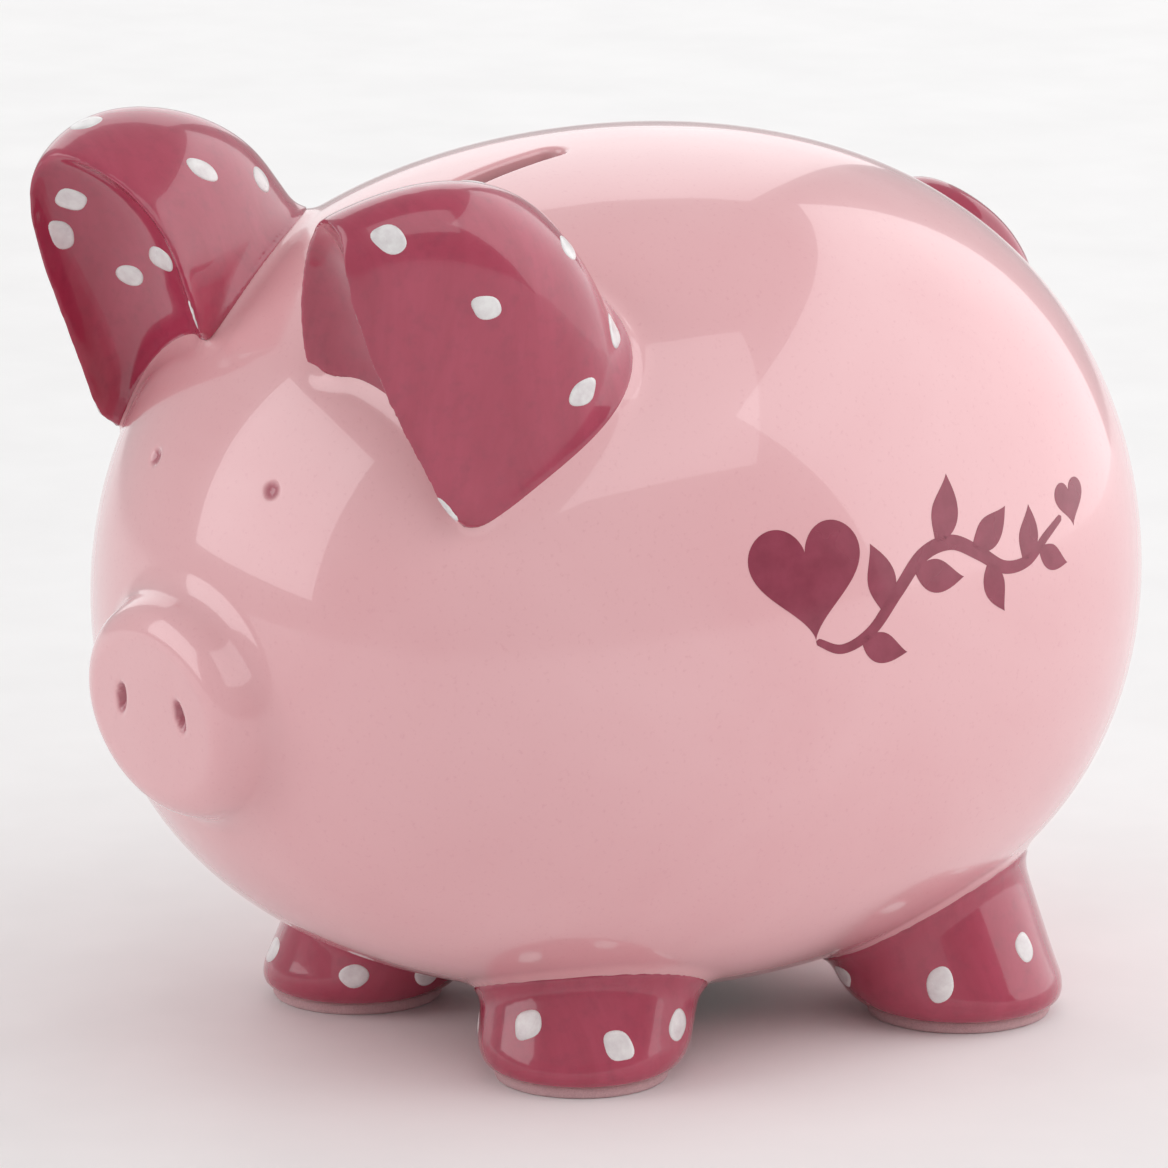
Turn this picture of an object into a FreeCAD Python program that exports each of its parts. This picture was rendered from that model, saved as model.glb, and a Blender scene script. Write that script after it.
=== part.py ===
import FreeCAD, Part
import math
import os
import Sketcher
from FreeCAD import Placement, Rotation, Vector

# A ceramic pig coin bank: a hollow slip-cast body with cast ears, feet and tail luted on,
# felt pads under the feet and a rubber stopper in the belly.
# Frame: +Z up, nose towards -Y, the pig's left side towards +X, origin on the floor
# under the middle of the bank.

doc = FreeCAD.newDocument("pig_coin_bank")

# ---------------------------------------------------------------- driving dimensions (mm)
DIMENSIONS = (
    ("half_width", 71.0),
    ("front_length", 89.0),
    ("rear_length", 81.0),
    ("top_height", 70.5),
    ("belly_height", 63.5),
    ("centre_height", 69.3),
    ("centre_shift", 7.6),
    ("fullness", 2.26),
    ("wall", 4.0),
    ("snout_half_width", 20.0),
    ("snout_half_height", 17.2),
    ("snout_face", 94.0),
    ("snout_height", 60.8),
    ("snout_root", 20.0),
    ("snout_rim", 5.5),
    ("nostril_spread", 7.6),
    ("nostril_height", 62.3),
    ("eye_spread", 15.0),
    ("eye_height", 96.6),
    ("eye_radius", 2.0),
    ("slot_width", 5.0),
    ("slot_length", 38.0),
    ("slot_centre", 34.0),
    ("ear_wall", 4.0),
    ("pad_thickness", 2.0),
    ("pad_radius", 14.0),
    ("sole_radius", 13.0),
    ("ankle_radius", 16.8),
    ("leg_radius", 19.2),
    ("rear_scale", 1.08),
    ("leg_top", 34.0),
    ("foot_wall", 4.0),
    ("tail_radius", 4.0),
    ("tail_core", 5.0),
    ("tail_growth", 2.0),
    ("vent_radius", 2.0),
    ("throat_radius", 16.0),
    ("recess_radius", 20.5),
    ("recess_height", 8.4),
    ("flange_radius", 19.5),
    ("flange_thickness", 2.4),
    ("plug_clearance", 0.05),
    ("plug_height", 9.0),
    ("plug_taper", 1.0),
    ("plug_bore", 11.0),
    ("grip_width", 16.0),
    ("grip_thickness", 3.0),
    ("grip_depth", 3.4),
)
SIZE = dict(DIMENSIONS)

sheet = doc.addObject("Spreadsheet::Sheet", "sizes")
for row, (alias, value) in enumerate(DIMENSIONS, start=1):
    sheet.set("A%d" % row, alias)
    sheet.set("B%d" % row, str(value))
    sheet.setAlias("B%d" % row, alias)
doc.recompute()

BODY_CENTRE = Vector(0, SIZE["centre_shift"], SIZE["centre_height"])


def bind(obj, bindings):
    """Bind properties to expressions in which @ stands for the sheet."""
    for prop, expression in bindings.items():
        obj.setExpression(prop, expression.replace("@", "sizes."))


def primitive(kind, name, place, **bindings):
    """A Part primitive at a placement, with its sizes bound to the sheet."""
    obj = doc.addObject("Part::" + kind, name)
    bind(obj, bindings)
    obj.Placement = place
    return obj


def shape_object(name, shape):
    """A free-form shape as a document object."""
    obj = doc.addObject("Part::Feature", name)
    obj.Shape = shape
    return obj


def cut(name, base, tools):
    """The base less every tool, as parametric booleans."""
    tool = tools[0]
    if len(tools) > 1:
        tool = doc.addObject("Part::MultiFuse", name + "_tools")
        tool.Shapes = tools
    result = doc.addObject("Part::Cut", name)
    result.Base = base
    result.Tool = tool
    return result


def towards(direction):
    """The turn that takes +Z onto a direction."""
    return Rotation(Vector(0, 0, 1), direction)


# ---------------------------------------------------------------- the body's egg form
def egg_radius(direction, grow=0.0):
    """Distance from the body's centre to its skin along a unit direction."""
    half_length = SIZE["front_length"] if direction.y < 0 else SIZE["rear_length"]
    half_height = SIZE["top_height"] if direction.z > 0 else SIZE["belly_height"]
    power = SIZE["fullness"]
    total = abs(direction.x / (SIZE["half_width"] + grow)) ** power
    total += abs(direction.y / (half_length + grow)) ** power
    total += abs(direction.z / (half_height + grow)) ** power
    return total ** (-1 / power)


def skin_point(direction, grow=0.0):
    """The point of the skin along a direction from the body's centre."""
    unit = Vector(direction).normalize()
    return BODY_CENTRE + unit * egg_radius(unit, grow)


def skin_normal(direction):
    """The skin's outward normal where a direction from the body's centre meets it."""
    point = Vector(direction).normalize() * egg_radius(Vector(direction).normalize())
    half_length = SIZE["front_length"] if point.y < 0 else SIZE["rear_length"]
    half_height = SIZE["top_height"] if point.z > 0 else SIZE["belly_height"]
    slopes = [
        math.copysign(abs(reach / half) ** (SIZE["fullness"] - 1) / half, reach)
        for reach, half in zip(point, (SIZE["half_width"], half_length, half_height))
    ]
    return Vector(*slopes).normalize()


def closed_curve(points):
    """A smooth closed wire through points."""
    curve = Part.BSplineCurve()
    curve.interpolate(Points=points, PeriodicFlag=True)
    return Part.Wire(curve.toShape())


def egg_section(along, grow, points=24):
    """The skin's outline in the plane at a signed distance along Y from the centre."""
    half_length = (SIZE["front_length"] if along < 0 else SIZE["rear_length"]) + grow
    power = SIZE["fullness"]
    shrink = (1 - abs(along / half_length) ** power) ** (1 / power)
    outline = []
    for step in range(points):
        angle = 2 * math.pi * step / points
        across = Vector(math.cos(angle), 0, math.sin(angle))
        outline.append(BODY_CENTRE + Vector(0, along, 0) + across * egg_radius(across, grow) * shrink)
    return closed_curve(outline)


def egg_form(grow=0.0, steps=9, last_angle=84.0):
    """The whole egg as one smooth loft from nose to rump."""
    front = SIZE["front_length"] + grow
    rear = SIZE["rear_length"] + grow
    sections = []
    for step in range(-steps, steps + 1):
        sine = math.sin(math.radians(last_angle * step / steps))
        sections.append(egg_section(sine * (front if step < 0 else rear), grow))
    return Part.makeLoft(sections, True)


body_form = shape_object("body_form", egg_form())
cavity_form = shape_object("cavity_form", egg_form(-SIZE["wall"]))

# ---------------------------------------------------------------- snout
SNOUT_TILT = 7.0
SNOUT_CENTRE = Vector(0, SIZE["centre_shift"] - SIZE["snout_face"], SIZE["snout_height"])

snout_oval = doc.addObject("Part::Ellipse", "snout_oval")
bind(snout_oval, {"MajorRadius": "@snout_half_width", "MinorRadius": "@snout_half_height"})
snout_oval.Placement = Placement(SNOUT_CENTRE, Rotation(Vector(1, 0, 0), SNOUT_TILT - 90))
snout_stub = doc.addObject("Part::Extrusion", "snout_stub")
snout_stub.Base = snout_oval
snout_stub.DirMode = "Normal"
snout_stub.Solid = True
bind(snout_stub, {"LengthFwd": "@snout_root"})
doc.recompute()


def edges_near(shape, point, reach):
    """Numbers of the shape's edges whose middles lie within reach of a point."""
    return [
        number
        for number, edge in enumerate(shape.Edges, start=1)
        if edge.CenterOfMass.distanceToPoint(point) < reach
    ]


snout = doc.addObject("Part::Fillet", "snout")
snout.Base = snout_stub
snout_edges = edges_near(snout_stub.Shape, SNOUT_CENTRE, 3.0)
snout.Edges = [(number, SIZE["snout_rim"], SIZE["snout_rim"]) for number in snout_edges]

# ---------------------------------------------------------------- openings and dents in the body
SIDES = (("left", 1), ("right", -1))


def eye_dent(side, sign):
    """A shallow round dent for an eye."""
    across = sign * SIZE["eye_spread"]
    height = SIZE["eye_height"] - SIZE["centre_height"]
    forward = -SIZE["front_length"] * (
        1
        - abs(across / SIZE["half_width"]) ** SIZE["fullness"]
        - abs(height / SIZE["top_height"]) ** SIZE["fullness"]
    ) ** (1 / SIZE["fullness"])
    skin = Vector(across, forward, height)
    place = Placement(BODY_CENTRE + skin + skin_normal(skin) * (0.6 * SIZE["eye_radius"]), Rotation())
    return primitive("Sphere", side + "_eye_dent", place, Radius="@eye_radius")


def nostril_dent(side, sign):
    """A slanted oval dent in the snout's face."""
    slant = Rotation(Vector(0, 1, 0), sign * 14)
    place = Placement(
        Vector(sign * SIZE["nostril_spread"], SNOUT_CENTRE.y + 0.6, SIZE["nostril_height"]), slant
    )
    dent = doc.addObject("Part::Ellipsoid", side + "_nostril_dent")
    dent.Radius1 = 2.1
    dent.Radius2 = 1.5
    dent.Radius3 = 2.4
    dent.Placement = place
    return dent


def plane_of(body, role):
    """One of a PartDesign body's own origin planes."""
    return next(feature for feature in body.Origin.OriginFeatures if feature.Role == role)


def new_sketch(body, name, role):
    """A sketch on one of the body's origin planes."""
    sketch = body.newObject("Sketcher::SketchObject", name)
    sketch.AttachmentSupport = [(plane_of(body, role), "")]
    sketch.MapMode = "FlatFace"
    return sketch


def circle_sketch(body, name, role, radius):
    """A circle about the origin, its radius bound to the sheet."""
    sketch = new_sketch(body, name, role)
    circle = sketch.addGeometry(Part.Circle(Vector(), Vector(0, 0, 1), 10), False)
    sketch.addConstraint(Sketcher.Constraint("Coincident", circle, 3, -1, 1))
    bound = sketch.addConstraint(Sketcher.Constraint("Radius", circle, 10))
    sketch.setExpression("Constraints[%d]" % bound, radius.replace("@", "sizes."))
    return sketch


def slot_cutter():
    """A round-ended bar along Y that pierces the back."""
    body = doc.addObject("PartDesign::Body", "slot_cutter")
    sketch = new_sketch(body, "slot_outline", "XY_Plane")
    radius = SIZE["slot_width"] / 2
    reach = (SIZE["slot_length"] - SIZE["slot_width"]) / 2
    rear_end = Part.Circle(Vector(0, reach, 0), Vector(0, 0, 1), radius)
    front_end = Part.Circle(Vector(0, -reach, 0), Vector(0, 0, 1), radius)
    sketch.addGeometry(Part.ArcOfCircle(rear_end, 0, math.pi))
    sketch.addGeometry(Part.LineSegment(Vector(-radius, reach, 0), Vector(-radius, -reach, 0)))
    sketch.addGeometry(Part.ArcOfCircle(front_end, math.pi, 2 * math.pi))
    sketch.addGeometry(Part.LineSegment(Vector(radius, -reach, 0), Vector(radius, reach, 0)))
    for first, first_end, second, second_end in ((0, 2, 1, 1), (1, 2, 2, 1), (2, 2, 3, 1), (3, 2, 0, 1)):
        sketch.addConstraint(Sketcher.Constraint("Tangent", first, first_end, second, second_end))
    sketch.addConstraint(Sketcher.Constraint("Symmetric", 0, 3, 2, 3, -1, 1))
    sketch.addConstraint(Sketcher.Constraint("PointOnObject", 0, 3, -2))
    width = sketch.addConstraint(Sketcher.Constraint("Radius", 0, radius))
    length = sketch.addConstraint(Sketcher.Constraint("DistanceY", 2, 3, 0, 3, 2 * reach))
    sketch.setExpression("Constraints[%d]" % width, "sizes.slot_width / 2")
    sketch.setExpression("Constraints[%d]" % length, "sizes.slot_length - sizes.slot_width")
    pad = body.newObject("PartDesign::Pad", "slot_bar")
    pad.Profile = sketch
    pad.Length = 40
    body.Placement = Placement(
        Vector(0, SIZE["centre_shift"] - SIZE["slot_centre"], SIZE["centre_height"] + 40), Rotation()
    )
    return body


def vent(name, direction):
    """A small hole through the wall, so that a hollow ear or foot can breathe in the kiln."""
    start = skin_point(direction, -3 * SIZE["wall"])
    place = Placement(start, towards(direction))
    return primitive("Cylinder", name, place, Radius="@vent_radius", Height="4 * @wall")


STOPPER_SEAT = Placement(Vector(0, SIZE["centre_shift"] + 2, 0), Rotation())
stopper_recess = primitive(
    "Cylinder",
    "stopper_recess",
    STOPPER_SEAT,
    Radius="@recess_radius",
    Height="@recess_height",
)
stopper_throat = primitive(
    "Cylinder",
    "stopper_throat",
    STOPPER_SEAT,
    Radius="@throat_radius",
    Height="@recess_height + 2 * @wall",
)

# ---------------------------------------------------------------- ears
# An ear is a tapering lobe on a bent spine. Its section is a D: a deep rounded back, and a
# dished face between two rims. Each vector below is given for the left ear, at the root (along
# is 0), with its change up to the tip (along is 1).
EAR_ROOT = Vector(29.3, -71.8, 115.0)
EAR_SPINE = Vector(4.9, -8.8, 22.5)
EAR_CURL = Vector(6.9, -6.5, 1.9)
EAR_RIM = Vector(15.0, 3.2, -12.0)
EAR_RIM_CHANGE = Vector(-5.8, -4.6, 0.6)
EAR_BACK = Vector(8.2, 30.5, 16.5)
EAR_BACK_CHANGE = Vector(7.1, -7.7, -2.4)
EAR_TAPER = 2.1
EAR_INNER_FULLNESS = 0.88
EAR_OUTER_FULLNESS = 0.78
EAR_DISH = 0.10
EAR_START = -0.45


def open_curve(points):
    """A smooth edge through points."""
    curve = Part.BSplineCurve()
    curve.interpolate(points)
    return curve.toShape()


def ear_section(along, sign, inset, points=10):
    """The D-shaped outline of the ear; inset shrinks it for the hollow inside."""
    rim = EAR_RIM + EAR_RIM_CHANGE * along
    back = EAR_BACK + EAR_BACK_CHANGE * along
    centre = EAR_ROOT + EAR_SPINE * along + EAR_CURL * along ** 2 + Vector(0, SIZE["centre_shift"], 0)
    centre += back * (inset / back.Length)
    rim = rim * (1 - inset / rim.Length)
    back = back * (1 - 2 * inset / back.Length)
    shrink = (1 - max(along, 0) ** EAR_TAPER) ** (1 / EAR_TAPER)
    outlines = []
    for depth in (1.0, EAR_DISH):
        outline = []
        for step in range(points + 1):
            angle = math.pi * step / points
            outer_share = (1 + math.cos(angle)) / 2
            power = outer_share * EAR_OUTER_FULLNESS + (1 - outer_share) * EAR_INNER_FULLNESS
            across = math.copysign(abs(math.cos(angle)) ** power, math.cos(angle))
            deep = abs(math.sin(angle)) ** power if 0 < step < points else 0
            point = centre + (rim * across + back * (depth * deep)) * shrink
            outline.append(Vector(sign * point.x, point.y, point.z))
        outlines.append(open_curve(outline))
    return Part.Wire(Part.__sortEdges__(outlines))


def ear_lobe(sign, inset=0.0, last_angle=84.0, steps=7):
    """The ear's lobe as a loft from inside the head to the tip."""
    sections = [ear_section(EAR_START, sign, inset), ear_section(EAR_START / 2, sign, inset)]
    for step in range(steps + 1):
        sections.append(ear_section(math.sin(math.radians(last_angle * step / steps)), sign, inset))
    return Part.makeLoft(sections, True)


def ear(side, sign):
    """One hollow ear, cut to sit on the head."""
    lobe = shape_object(side + "_ear_lobe", ear_lobe(sign))
    hollow = shape_object(side + "_ear_hollow", ear_lobe(sign, SIZE["ear_wall"], 50.0, 4))
    seated = cut(side + "_ear_seated", lobe, [body_form])
    return cut(side + "_ear", seated, [hollow])


# ---------------------------------------------------------------- feet and pads
# Each foot leans from its sole to its root on the belly: name, sign of X, size, then the middle
# of the sole and the middle of the leg at leg_top.
FEET = (
    ("front_left", 1, "1", (29.0, -34.0), (20.0, -21.5)),
    ("front_right", -1, "1", (29.0, -34.0), (20.0, -21.5)),
    ("rear_left", 1, "@rear_scale", (38.0, 35.0), (25.0, 28.0)),
    ("rear_right", -1, "@rear_scale", (38.0, 35.0), (25.0, 28.0)),
)


def leg_loft(body, kind, name, rings, sign, sole, leg):
    """An additive or subtractive loft through level circles that drift from sole to leg."""
    base = SIZE["pad_thickness"]
    top = SIZE["leg_top"]
    sketches = []
    for number, (height, radius) in enumerate(rings):
        share = (height - base) / (top - base)
        middle = [(1 - share) * sole[axis] + share * leg[axis] for axis in (0, 1)]
        sketch = circle_sketch(body, "%s_ring_%d" % (name, number), "XY_Plane", radius)
        sketch.AttachmentOffset = Placement(
            Vector(sign * middle[0], middle[1] + SIZE["centre_shift"], height), Rotation()
        )
        sketches.append(sketch)
    loft = body.newObject("PartDesign::" + kind, name)
    loft.Profile = sketches[0]
    loft.Sections = sketches[1:]
    return loft


def foot(corner, sign, scale, sole, leg):
    """One hollow foot with a closed sole, cut to sit on the belly."""
    base = SIZE["pad_thickness"]
    inner_base = base + SIZE["foot_wall"]
    body = doc.addObject("PartDesign::Body", corner + "_leg")
    outer_rings = (
        (base, scale + " * @sole_radius"),
        (base + 2.2, scale + " * (@sole_radius + 2.6)"),
        (base + 8, scale + " * @ankle_radius"),
        (SIZE["leg_top"], scale + " * @leg_radius"),
    )
    leg_loft(body, "AdditiveLoft", corner + "_outside", outer_rings, sign, sole, leg)
    inner_rings = (
        (inner_base, scale + " * @ankle_radius - @foot_wall - 2"),
        (inner_base + 5, scale + " * @ankle_radius - @foot_wall"),
        (SIZE["leg_top"], scale + " * @leg_radius - @foot_wall"),
    )
    leg_loft(body, "SubtractiveLoft", corner + "_inside", inner_rings, sign, sole, leg)
    return cut(corner + "_foot", body, [body_form])


def foot_pad(corner, sign, scale, sole):
    """One round felt pad under a foot, with its lower edge eased."""
    body = doc.addObject("PartDesign::Body", corner + "_pad")
    sketch = circle_sketch(body, corner + "_pad_outline", "XY_Plane", scale + " * @pad_radius")
    pad = body.newObject("PartDesign::Pad", corner + "_pad_disc")
    pad.Profile = sketch
    bind(pad, {"Length": "@pad_thickness"})
    doc.recompute()
    chamfer = body.newObject("PartDesign::Chamfer", corner + "_pad_edge")
    rims = edges_near(pad.Shape, Vector(), 0.1)
    chamfer.Base = (pad, ["Edge%d" % number for number in rims])
    chamfer.Size = 0.3
    body.Placement = Placement(Vector(sign * sole[0], sole[1] + SIZE["centre_shift"], 0), Rotation())
    return body


# ---------------------------------------------------------------- tail
TAIL_RISE = 34.5
TAIL_QUARTERS = 5


def tail():
    """A curl of round clay that lies on the rump: a spiral of quarter turns."""
    body = doc.addObject("PartDesign::Body", "tail_curl")
    path = new_sketch(body, "tail_path", "XY_Plane")
    centre = Vector()
    radius = SIZE["tail_core"]
    for quarter in range(TAIL_QUARTERS):
        start = quarter * math.pi / 2
        circle = Part.Circle(centre, Vector(0, 0, 1), radius)
        path.addGeometry(Part.ArcOfCircle(circle, start, start + math.pi / 2))
        outward = Vector(math.cos(start + math.pi / 2), math.sin(start + math.pi / 2), 0)
        centre = centre - outward * SIZE["tail_growth"]
        radius += SIZE["tail_growth"]
    for quarter in range(TAIL_QUARTERS - 1):
        path.addConstraint(Sketcher.Constraint("Coincident", quarter, 2, quarter + 1, 1))
    profile = new_sketch(body, "tail_section", "XZ_Plane")
    middle = Vector(SIZE["tail_core"], 0, 0)
    circle = profile.addGeometry(Part.Circle(middle, Vector(0, 0, 1), SIZE["tail_radius"]), False)
    bound = profile.addConstraint(Sketcher.Constraint("Radius", circle, SIZE["tail_radius"]))
    profile.setExpression("Constraints[%d]" % bound, "sizes.tail_radius")
    pipe = body.newObject("PartDesign::AdditivePipe", "tail_pipe")
    pipe.Profile = profile
    pipe.Spine = path
    rise = math.radians(TAIL_RISE)
    aim = Vector(0, math.cos(rise), math.sin(rise))
    outward = skin_normal(aim)
    coil_middle = Vector(1.5 * SIZE["tail_growth"], -SIZE["tail_growth"], -0.25 * SIZE["tail_radius"])
    body.Placement = Placement(skin_point(aim) - towards(outward).multVec(coil_middle), towards(outward))
    return cut("tail", body, [body_form])


# ---------------------------------------------------------------- rubber stopper
def stopper():
    """A rubber bung: flange in the belly's recess, tapered plug in the throat, grip rib below."""
    body = doc.addObject("PartDesign::Body", "stopper")
    top = SIZE["recess_height"]
    flange_base = top - SIZE["flange_thickness"]
    plug = SIZE["throat_radius"] - SIZE["plug_clearance"]
    crown = top + SIZE["plug_height"]
    profile = new_sketch(body, "stopper_profile", "XZ_Plane")
    corners = (
        (0, flange_base),
        (SIZE["flange_radius"], flange_base),
        (SIZE["flange_radius"], top),
        (plug, top),
        (plug, top + 4),
        (plug - SIZE["plug_taper"], crown),
        (SIZE["plug_bore"], crown),
        (SIZE["plug_bore"], top + 1),
        (0, top + 1),
    )
    points = [Vector(x, z, 0) for x, z in corners]
    for start, end in zip(points, points[1:] + points[:1]):
        profile.addGeometry(Part.LineSegment(start, end))
    for number in range(len(points)):
        following = (number + 1) % len(points)
        profile.addConstraint(Sketcher.Constraint("Coincident", number, 2, following, 1))
    flange = profile.addConstraint(Sketcher.Constraint("DistanceX", -1, 1, 1, 1, SIZE["flange_radius"]))
    profile.setExpression("Constraints[%d]" % flange, "sizes.flange_radius")
    turned = body.newObject("PartDesign::Revolution", "stopper_round")
    turned.Profile = profile
    turned.ReferenceAxis = (profile, ["V_Axis"])
    turned.Angle = 360
    grip = new_sketch(body, "grip_profile", "XZ_Plane")
    half = SIZE["grip_width"] / 2
    low = flange_base - SIZE["grip_depth"]
    outline = (
        Vector(-half, flange_base + 0.5, 0),
        Vector(-half, low, 0),
        Vector(half, low, 0),
        Vector(half, flange_base + 0.5, 0),
    )
    for start, end in zip(outline, outline[1:] + outline[:1]):
        grip.addGeometry(Part.LineSegment(start, end))
    rib = body.newObject("PartDesign::Pad", "grip_rib")
    rib.Profile = grip
    rib.Midplane = True
    bind(rib, {"Length": "@grip_thickness"})
    body.Placement = STOPPER_SEAT
    return body


# ---------------------------------------------------------------- assembly
vents = []
for side, sign in SIDES:
    vents.append(vent(side + "_ear_vent", Vector(sign * 36, -56, 46)))
for corner, sign, scale, sole, leg in FEET:
    middle = Vector(sign * (sole[0] + leg[0]) / 2, (sole[1] + leg[1]) / 2, 14 - SIZE["centre_height"])
    vents.append(vent(corner + "_foot_vent", middle))

body_outside = doc.addObject("Part::Fuse", "body_outside")
body_outside.Base = body_form
body_outside.Tool = snout
body_cutters = [cavity_form, slot_cutter(), stopper_recess, stopper_throat]
body_cutters += [eye_dent(side, sign) for side, sign in SIDES]
body_cutters += [nostril_dent(side, sign) for side, sign in SIDES]
body_cutters += vents

parts = {"body_shell": cut("body_shell", body_outside, body_cutters)}
for side, sign in SIDES:
    parts[side + "_ear"] = ear(side, sign)
for corner, sign, scale, sole, leg in FEET:
    parts[corner + "_foot"] = foot(corner, sign, scale, sole, leg)
    parts[corner + "_pad"] = foot_pad(corner, sign, scale, sole)
parts["tail"] = tail()
parts["stopper"] = stopper()
for name, obj in parts.items():
    obj.Label = name
doc.recompute()

# ---------------------------------------------------------------- check and write
for obj in doc.Objects:
    if {"Invalid", "Error"} & set(obj.State):
        raise RuntimeError("%s failed: %s" % (obj.Name, obj.State))
for name, obj in parts.items():
    if obj.Shape.isNull() or not obj.Shape.isValid():
        raise RuntimeError("%s has no valid shape" % name)

os.makedirs("parts", exist_ok=True)
for name, obj in parts.items():
    obj.Shape.exportStep("parts/%s.step" % name)
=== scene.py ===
import math

import bpy
import numpy as np
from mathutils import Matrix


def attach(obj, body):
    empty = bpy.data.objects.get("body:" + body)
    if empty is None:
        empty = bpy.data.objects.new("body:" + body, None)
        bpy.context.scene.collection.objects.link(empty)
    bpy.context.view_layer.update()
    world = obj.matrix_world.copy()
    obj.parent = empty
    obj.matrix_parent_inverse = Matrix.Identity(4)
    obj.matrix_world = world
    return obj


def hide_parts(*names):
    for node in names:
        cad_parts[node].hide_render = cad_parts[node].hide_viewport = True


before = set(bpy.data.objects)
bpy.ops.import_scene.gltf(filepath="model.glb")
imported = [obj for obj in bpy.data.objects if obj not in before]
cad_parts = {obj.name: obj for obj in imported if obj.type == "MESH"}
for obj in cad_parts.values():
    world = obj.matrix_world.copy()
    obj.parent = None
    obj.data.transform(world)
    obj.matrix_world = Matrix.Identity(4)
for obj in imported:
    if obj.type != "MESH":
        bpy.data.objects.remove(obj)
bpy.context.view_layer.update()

import openvdb
from mathutils import Vector
from mathutils.bvhtree import BVHTree

# A glazed pig coin bank. Lengths below are millimetres in the frame of the CAD model: +Z up,
# nose towards -Y, the pig's left towards +X. Meshes are written in metres.
MM = 0.001
SEED = 7

# -------- small helpers


def unit(vectors):
    """The vectors at length 1."""
    vectors = np.asarray(vectors, float)
    return vectors / np.linalg.norm(vectors, axis=-1, keepdims=True)


def ease(x):
    """Smooth step from 0 to 1."""
    x = np.clip(x, 0, 1)
    return x * x * (3 - 2 * x)


def smooth_min(a, b, reach):
    """The lesser of two distances, rounded over where they are within reach of each other."""
    h = np.maximum(reach - np.abs(a - b), 0) / reach
    return np.minimum(a, b) - h * h * reach / 4


def last_inside(is_inside, near, far, rounds):
    """Where a test turns from inside to outside between near and far, just on the inner side."""
    for _ in range(rounds):
        middle = (near + far) / 2
        inside = is_inside(middle)
        near, far = np.where(inside, middle, near), np.where(inside, far, middle)
    return near


def smooth_object(name, points, faces, materials):
    """A smooth-shaded mesh object from points in metres."""
    mesh = bpy.data.meshes.new(name)
    mesh.from_pydata(points.tolist(), [], [list(map(int, face)) for face in faces])
    for material in materials:
        mesh.materials.append(material)
    mesh.polygons.foreach_set("use_smooth", np.ones(len(mesh.polygons), bool))
    mesh.update()
    thing = bpy.data.objects.new(name, mesh)
    bpy.context.scene.collection.objects.link(thing)
    return thing


def make_piece(name, points, faces, materials, body, replaces=()):
    """A piece from millimetre points, riding on a CAD body."""
    piece = smooth_object(name, np.asarray(points, float) * MM, faces, materials)
    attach(piece, body)
    if replaces:
        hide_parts(*replaces)
    return piece


def tube_faces(rings, columns):
    """Quads between successive closed rings of points."""
    start = columns * np.arange(rings - 1)[:, None]
    here = np.arange(columns)[None, :]
    after = (here + 1) % columns
    quads = np.stack([start + here, start + after, start + columns + after, start + columns + here], -1)
    return quads.reshape(-1, 4)


def fan_faces(columns, first, middle, flip=False):
    """Triangles from a ring to a middle point."""
    here = first + np.arange(columns)
    after = first + (np.arange(columns) + 1) % columns
    sides = (after, here) if flip else (here, after)
    return [(int(a), int(b), int(middle)) for a, b in zip(*sides)]


def closed_tube(rings):
    """Points and faces of a tube of rings closed by a fan at each end."""
    count, columns = rings.shape[:2]
    points = np.concatenate([rings.reshape(-1, 3), rings[:1].mean(1), rings[-1:].mean(1)])
    faces = [tuple(quad) for quad in tube_faces(count, columns).tolist()]
    faces += fan_faces(columns, 0, len(points) - 2, True)
    faces += fan_faces(columns, (count - 1) * columns, len(points) - 1)
    return points, faces


def turned(profile, columns):
    """Rings about the Z axis from a profile of radii and heights."""
    angles = np.linspace(0, 2 * math.pi, columns, endpoint=False)
    return np.array(
        [np.stack([r * np.cos(angles), r * np.sin(angles), np.full(columns, z)], -1) for r, z in profile]
    )


# -------- the body's form
BODY_CENTRE = np.array([0, 7.6, 69.3])
HALF_WIDTH = 70.95
HALF_LENGTH, LENGTH_LEAN = 84.7, 4.2
HALF_HEIGHT, HEIGHT_LEAN = 67.0, 3.5
FULLNESS = 0.083
WALL = 4.0

SNOUT_MIDDLE = np.array([0, -86.3, 60.8])
SNOUT_TILT = math.radians(7)
SNOUT_HALF = (20.0, 17.2)
SNOUT_RIM = 5.6
SNOUT_BLEND = 4.2
SNOUT_DEPTH = 40.0
SNOUT_OUT = np.array([0, -math.cos(SNOUT_TILT), -math.sin(SNOUT_TILT)])
SNOUT_UP = np.array([0, -math.sin(SNOUT_TILT), math.cos(SNOUT_TILT)])

NOSTRIL = (7.6, -86.4, 62.3)
NOSTRIL_SIZE = (0.95, 1.4, 2.1)
NOSTRIL_SLANT = math.radians(14)
EYE_SPREAD, EYE_HEIGHT = 15.0, 96.9
EYE_RADIUS = 1.55
EYE_LIFT = 1.0


def egg_reach(directions):
    """Distance from the body's centre to its skin along unit directions."""
    lean = directions * (1.5 - 0.5 * directions ** 2)
    halves = np.stack(
        [
            np.full(len(directions), HALF_WIDTH),
            HALF_LENGTH - LENGTH_LEAN * lean[:, 1],
            HALF_HEIGHT + HEIGHT_LEAN * lean[:, 2],
        ],
        -1,
    )
    scaled = directions / halves
    square = (scaled ** 2).sum(1)
    fourth = (scaled ** 4).sum(1)
    return (1 + FULLNESS * (1 - fourth / square ** 2)) / np.sqrt(square)


def front_skin(x, z):
    """The point of the egg's front over an X and a Z."""
    y = last_inside(lambda y: egg_depth(np.array([[x, float(y), z]]))[0] < 0, -60.0, -90.0, 40)
    return np.array([x, float(y), z])


def egg_depth(points):
    """How far points stand outside the egg, measured from its centre."""
    offset = points - BODY_CENTRE
    reach = np.linalg.norm(offset, axis=1)
    return reach - egg_reach(offset / reach[:, None])


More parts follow.
